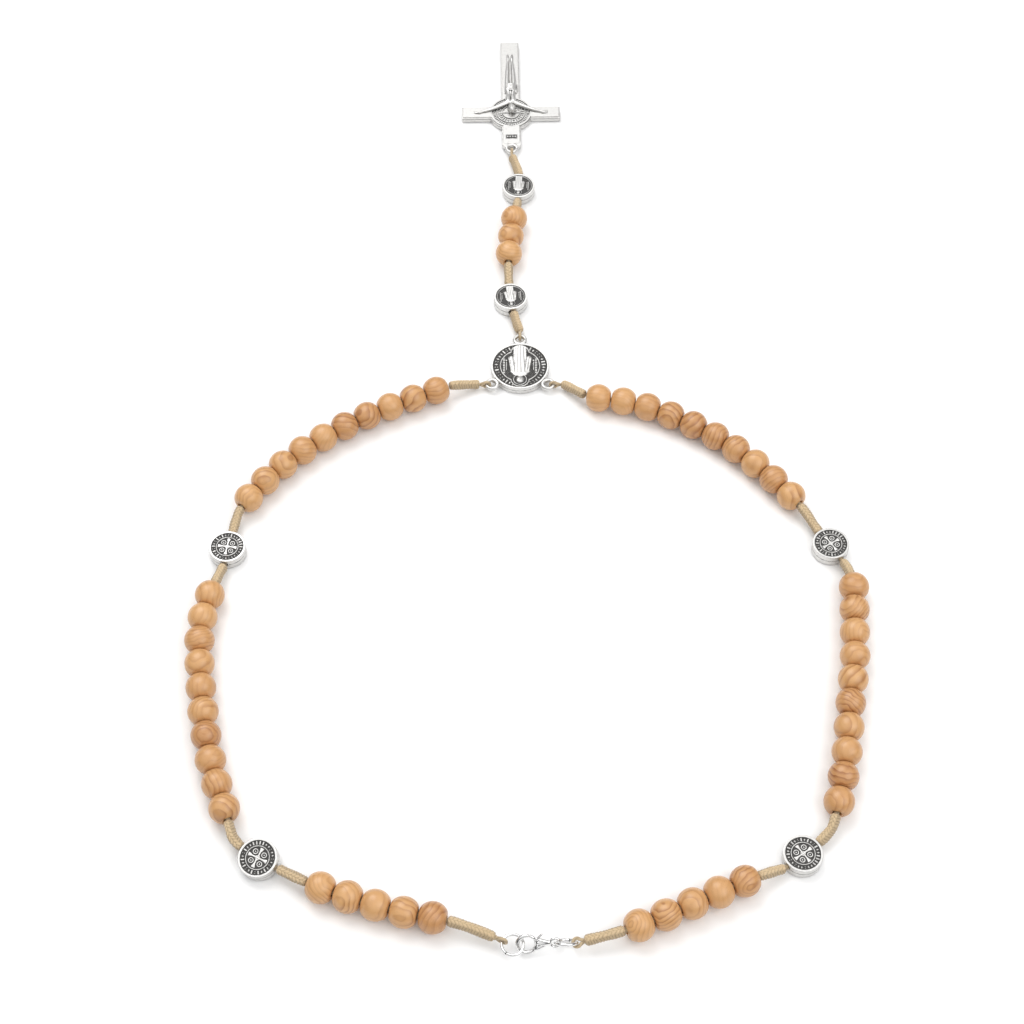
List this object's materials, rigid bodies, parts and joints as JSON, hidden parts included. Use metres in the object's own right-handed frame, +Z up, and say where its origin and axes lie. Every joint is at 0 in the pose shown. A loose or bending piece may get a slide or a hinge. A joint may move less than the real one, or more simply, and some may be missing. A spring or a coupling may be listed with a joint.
{
  "type": "rosary",
  "caption": "Corded rosary: oblate wood beads in decades, knotted cord sleeves, round relief medals, a cast crucifix on a drop, and a loop closed by a lobster clasp.",
  "frame": {"origin": "middle of the centre medal's flat back, on the surface that the rosary lies on", "axes": "+Y from the centre medal along the drop to the crucifix, +X to the right half of the loop, +Z up"},
  "size_m": [0.1829, 0.3192, 0.0081],
  "materials": {
    "bead_wood": "satin lacquered pine",
    "knot_cord": "beige braided nylon",
    "core_cord": "beige nylon core",
    "antique_silver": "antique silver plate with dark recesses",
    "bright_plate": "bright silver plate"
  },
  "bodies": {
    "centre": {"centre_medal": "antique_silver", "cord_side_loops": "core_cord"},
    "left_knot": {"cord_left_1": "core_cord", "knot_left_1": "knot_cord"},
    "left_upper": {"cord_left_2": "core_cord", "beads_upper_left": "bead_wood", "knot_left_2": "knot_cord"},
    "left_lower": {"cord_left_3": "core_cord", "knot_left_3": "knot_cord", "beads_lower_left": "bead_wood", "knot_left_4": "knot_cord"},
    "left_clasp": {"cord_left_4": "core_cord", "knot_left_5": "knot_cord", "knot_left_6": "knot_cord"},
    "ring_left": {"jump_ring_left": "bright_plate"},
    "right_knot": {"cord_right_1": "core_cord", "knot_right_1": "knot_cord"},
    "right_upper": {"cord_right_2": "core_cord", "beads_upper_right": "bead_wood", "knot_right_2": "knot_cord"},
    "right_lower": {"cord_right_3": "core_cord", "knot_right_3": "knot_cord", "beads_lower_right": "bead_wood", "knot_right_4": "knot_cord"},
    "right_clasp": {"cord_right_4": "core_cord", "knot_right_5": "knot_cord", "knot_right_6": "knot_cord"},
    "ring_right": {"jump_ring_right": "bright_plate"},
    "clasp": {"clasp_body": "bright_plate", "clasp_pin": "bright_plate", "clasp_spring": "bright_plate"},
    "lever": {"clasp_lever": "bright_plate"},
    "drop_inner": {"cord_drop_1": "core_cord", "knot_drop_1": "knot_cord"},
    "drop_middle": {"cord_drop_2": "core_cord", "knot_drop_2": "knot_cord", "knot_drop_3": "knot_cord"},
    "drop_outer": {"cord_drop_3": "core_cord", "knot_drop_4": "knot_cord"},
    "crucifix": {"crucifix": "antique_silver"},
    "medal_upper_left": {"medal_upper_left": "antique_silver"},
    "medal_lower_left": {"medal_lower_left": "antique_silver"},
    "medal_upper_right": {"medal_upper_right": "antique_silver"},
    "medal_lower_right": {"medal_lower_right": "antique_silver"},
    "medal_drop_1": {"medal_drop_1": "antique_silver"},
    "medal_drop_2": {"medal_drop_2": "antique_silver"},
    "bead_clasp_left_1": {"bead_clasp_left_1": "bead_wood"},
    "bead_clasp_left_2": {"bead_clasp_left_2": "bead_wood"},
    "bead_clasp_left_3": {"bead_clasp_left_3": "bead_wood"},
    "bead_clasp_left_4": {"bead_clasp_left_4": "bead_wood"},
    "bead_clasp_left_5": {"bead_clasp_left_5": "bead_wood"},
    "bead_clasp_right_1": {"bead_clasp_right_1": "bead_wood"},
    "bead_clasp_right_2": {"bead_clasp_right_2": "bead_wood"},
    "bead_clasp_right_3": {"bead_clasp_right_3": "bead_wood"},
    "bead_clasp_right_4": {"bead_clasp_right_4": "bead_wood"},
    "bead_clasp_right_5": {"bead_clasp_right_5": "bead_wood"},
    "bead_drop_1": {"bead_drop_1": "bead_wood"},
    "bead_drop_2": {"bead_drop_2": "bead_wood"},
    "bead_drop_3": {"bead_drop_3": "bead_wood"}
  },
  "joints": [
    {"name": "loop_lift", "type": "hinge", "parent": "centre", "child": "left_knot", "pos_m": [-0.0134, -0.0063, 0.0016], "axis": [-1, 0, 0], "range_deg": [0, 80]},
    {"name": "loop_lift_right", "type": "hinge", "parent": "centre", "child": "right_knot", "pos_m": [0.0134, -0.0063, 0.0016], "axis": [-1, 0, 0], "range_deg": [0, 80]},
    {"name": "loop_shape", "type": "hinge", "parent": "left_knot", "child": "left_upper", "pos_m": [-0.01907, -0.00809, 0.00352], "axis": [0, 0, 1], "range_deg": [-14, 14]},
    {"name": "loop_shape_left_lower", "type": "hinge", "parent": "left_upper", "child": "left_lower", "pos_m": [-0.08133, -0.07079, 0.00222], "axis": [0, 0, 1], "range_deg": [-26.4, 26.4]},
    {"name": "loop_shape_left_clasp", "type": "hinge", "parent": "left_lower", "child": "left_clasp", "pos_m": [-0.05872, -0.15975, 0.00301], "axis": [0, 0, 1], "range_deg": [-24, 24]},
    {"name": "loop_shape_left_ring", "type": "hinge", "parent": "left_clasp", "child": "ring_left", "pos_m": [-0.00464, -0.17776, 0.0028], "axis": [0, 0, 1], "range_deg": [-12.1, 12.1]},
    {"name": "loop_shape_right_upper", "type": "hinge", "parent": "right_knot", "child": "right_upper", "pos_m": [0.01759, -0.01086, 0.00341], "axis": [0, 0, 1], "range_deg": [-13.8, 13.8]},
    {"name": "loop_shape_right_lower", "type": "hinge", "parent": "right_upper", "child": "right_lower", "pos_m": [0.08848, -0.06922, 0.00226], "axis": [0, 0, 1], "range_deg": [-25.8, 25.8]},
    {"name": "loop_shape_right_clasp", "type": "hinge", "parent": "right_lower", "child": "right_clasp", "pos_m": [0.06363, -0.15905, 0.00226], "axis": [0, 0, 1], "range_deg": [-27, 27]},
    {"name": "loop_shape_right_ring", "type": "hinge", "parent": "right_clasp", "child": "ring_right", "pos_m": [0.01335, -0.1783, 0.003], "axis": [0, 0, 1], "range_deg": [-14.8, 14.8]},
    {"name": "loop_shape_hook", "type": "hinge", "parent": "ring_right", "child": "clasp", "pos_m": [0.00805, -0.1783, 0.003], "axis": [0, 0, 1], "range_deg": [-0.7, 0.7]},
    {"name": "drop_lift", "type": "hinge", "parent": "centre", "child": "drop_inner", "pos_m": [0, 0.0119, 0.0016], "axis": [1, 0, 0], "range_deg": [0, 90]},
    {"name": "drop_bend_inner", "type": "hinge", "parent": "drop_inner", "child": "drop_middle", "pos_m": [-0.00331, 0.03273, 0.0022], "axis": [0, 0, 1], "range_deg": [-28, 28]},
    {"name": "drop_bend_outer", "type": "hinge", "parent": "drop_middle", "child": "drop_outer", "pos_m": [-0.0003, 0.07828, 0.0017], "axis": [0, 0, 1], "range_deg": [-28, 28]},
    {"name": "crucifix_lift", "type": "hinge", "parent": "drop_outer", "child": "crucifix", "pos_m": [-0.0024, 0.0873, 0.0015], "axis": [1, 0, 0], "range_deg": [-50, 80]},
    {"name": "clasp_lever_open", "type": "hinge", "parent": "clasp", "child": "lever", "pos_m": [0.00365, -0.17795, 0.00365], "axis": [0.0192, -0.8185, 0.5742], "range_deg": [0, 22], "stiffness_Nm_per_rad": 0.002, "springref_deg": -11.46},
    {"name": "spin_medal_upper_left", "type": "hinge", "parent": "left_upper", "child": "medal_upper_left", "pos_m": [-0.08022, -0.06395, 0.00175], "axis": [-0.1337, -0.991, 0], "continuous": true},
    {"name": "spin_medal_lower_left", "type": "hinge", "parent": "left_lower", "child": "medal_lower_left", "pos_m": [-0.06499, -0.15646, 0.0028], "axis": [0.891, -0.4539, 0], "continuous": true},
    {"name": "spin_medal_upper_right", "type": "hinge", "parent": "right_upper", "child": "medal_upper_right", "pos_m": [0.08498, -0.06287, 0.00175], "axis": [0.5197, -0.8544, 0], "continuous": true},
    {"name": "spin_medal_lower_right", "type": "hinge", "parent": "right_lower", "child": "medal_lower_right", "pos_m": [0.06974, -0.15515, 0.0018], "axis": [-0.8162, -0.5778, 0], "continuous": true},
    {"name": "spin_medal_drop_1", "type": "hinge", "parent": "drop_inner", "child": "medal_drop_1", "pos_m": [-0.00274, 0.02583, 0.00175], "axis": [-0.0914, 0.9958, 0], "continuous": true},
    {"name": "spin_medal_drop_2", "type": "hinge", "parent": "drop_middle", "child": "medal_drop_2", "pos_m": [-0.00031, 0.07112, 0.00175], "axis": [0.0392, 0.9992, 0], "continuous": true},
    {"name": "spin_bead_clasp_left_1", "type": "hinge", "parent": "left_clasp", "child": "bead_clasp_left_1", "pos_m": [-0.0492, -0.16455, 0.00402], "axis": [0.9295, -0.3682, 0.0216], "continuous": true},
    {"name": "spin_bead_clasp_left_2", "type": "hinge", "parent": "left_clasp", "child": "bead_clasp_left_2", "pos_m": [-0.04244, -0.16699, 0.00405], "axis": [0.9504, -0.3107, -0.0118], "continuous": true},
    {"name": "spin_bead_clasp_left_3", "type": "hinge", "parent": "left_clasp", "child": "bead_clasp_left_3", "pos_m": [-0.03556, -0.16913, 0.004], "axis": [0.9588, -0.2842, -0.0015], "continuous": true},
    {"name": "spin_bead_clasp_left_4", "type": "hinge", "parent": "left_clasp", "child": "bead_clasp_left_4", "pos_m": [-0.02861, -0.17098, 0.00401], "axis": [0.9732, -0.23, 0.0032], "continuous": true},
    {"name": "spin_bead_clasp_left_5", "type": "hinge", "parent": "left_clasp", "child": "bead_clasp_left_5", "pos_m": [-0.02156, -0.1724, 0.00404], "axis": [0.9865, -0.164, 0.0035], "continuous": true},
    {"name": "spin_bead_clasp_right_1", "type": "hinge", "parent": "right_clasp", "child": "bead_clasp_right_1", "pos_m": [0.05481, -0.16284, 0.00404], "axis": [-0.9142, -0.4046, 0.0246], "continuous": true},
    {"name": "spin_bead_clasp_right_2", "type": "hinge", "parent": "right_clasp", "child": "bead_clasp_right_2", "pos_m": [0.04823, -0.16576, 0.00407], "axis": [-0.9129, -0.408, -0.0139], "continuous": true},
    {"name": "spin_bead_clasp_right_3", "type": "hinge", "parent": "right_clasp", "child": "bead_clasp_right_3", "pos_m": [0.04166, -0.1687, 0.00401], "axis": [-0.9122, -0.4098, -0.0035], "continuous": true},
    {"name": "spin_bead_clasp_right_4", "type": "hinge", "parent": "right_clasp", "child": "bead_clasp_right_4", "pos_m": [0.03508, -0.17162, 0.00401], "axis": [-0.9161, -0.4009, 0.0027], "continuous": true},
    {"name": "spin_bead_clasp_right_5", "type": "hinge", "parent": "right_clasp", "child": "bead_clasp_right_5", "pos_m": [0.02842, -0.17436, 0.00402], "axis": [-0.9339, -0.3575, -0.0015], "continuous": true},
    {"name": "spin_bead_drop_1", "type": "hinge", "parent": "drop_middle", "child": "bead_drop_1", "pos_m": [-0.00328, 0.04233, 0.004], "axis": [0.0614, 0.9976, 0.0305], "continuous": true},
    {"name": "spin_bead_drop_2", "type": "hinge", "parent": "drop_middle", "child": "bead_drop_2", "pos_m": [-0.00265, 0.04949, 0.00408], "axis": [0.1127, 0.9936, -0.0054], "continuous": true},
    {"name": "spin_bead_drop_3", "type": "hinge", "parent": "drop_middle", "child": "bead_drop_3", "pos_m": [-0.0017, 0.05662, 0.00406], "axis": [0.1527, 0.9883, 0.0005], "continuous": true}
  ],
  "couplings": [
    {"joint": "loop_lift_right", "follows": "loop_lift", "ratio": 1},
    {"joint": "loop_shape_left_lower", "follows": "loop_shape", "ratio": -1.85},
    {"joint": "loop_shape_left_clasp", "follows": "loop_shape", "ratio": 1.681},
    {"joint": "loop_shape_left_ring", "follows": "loop_shape", "ratio": -0.831},
    {"joint": "loop_shape_right_upper", "follows": "loop_shape", "ratio": -0.948},
    {"joint": "loop_shape_right_lower", "follows": "loop_shape", "ratio": 1.807},
    {"joint": "loop_shape_right_clasp", "follows": "loop_shape", "ratio": -1.895},
    {"joint": "loop_shape_right_ring", "follows": "loop_shape", "ratio": 1.022},
    {"joint": "loop_shape_hook", "follows": "loop_shape", "ratio": 0.014}
  ]
}
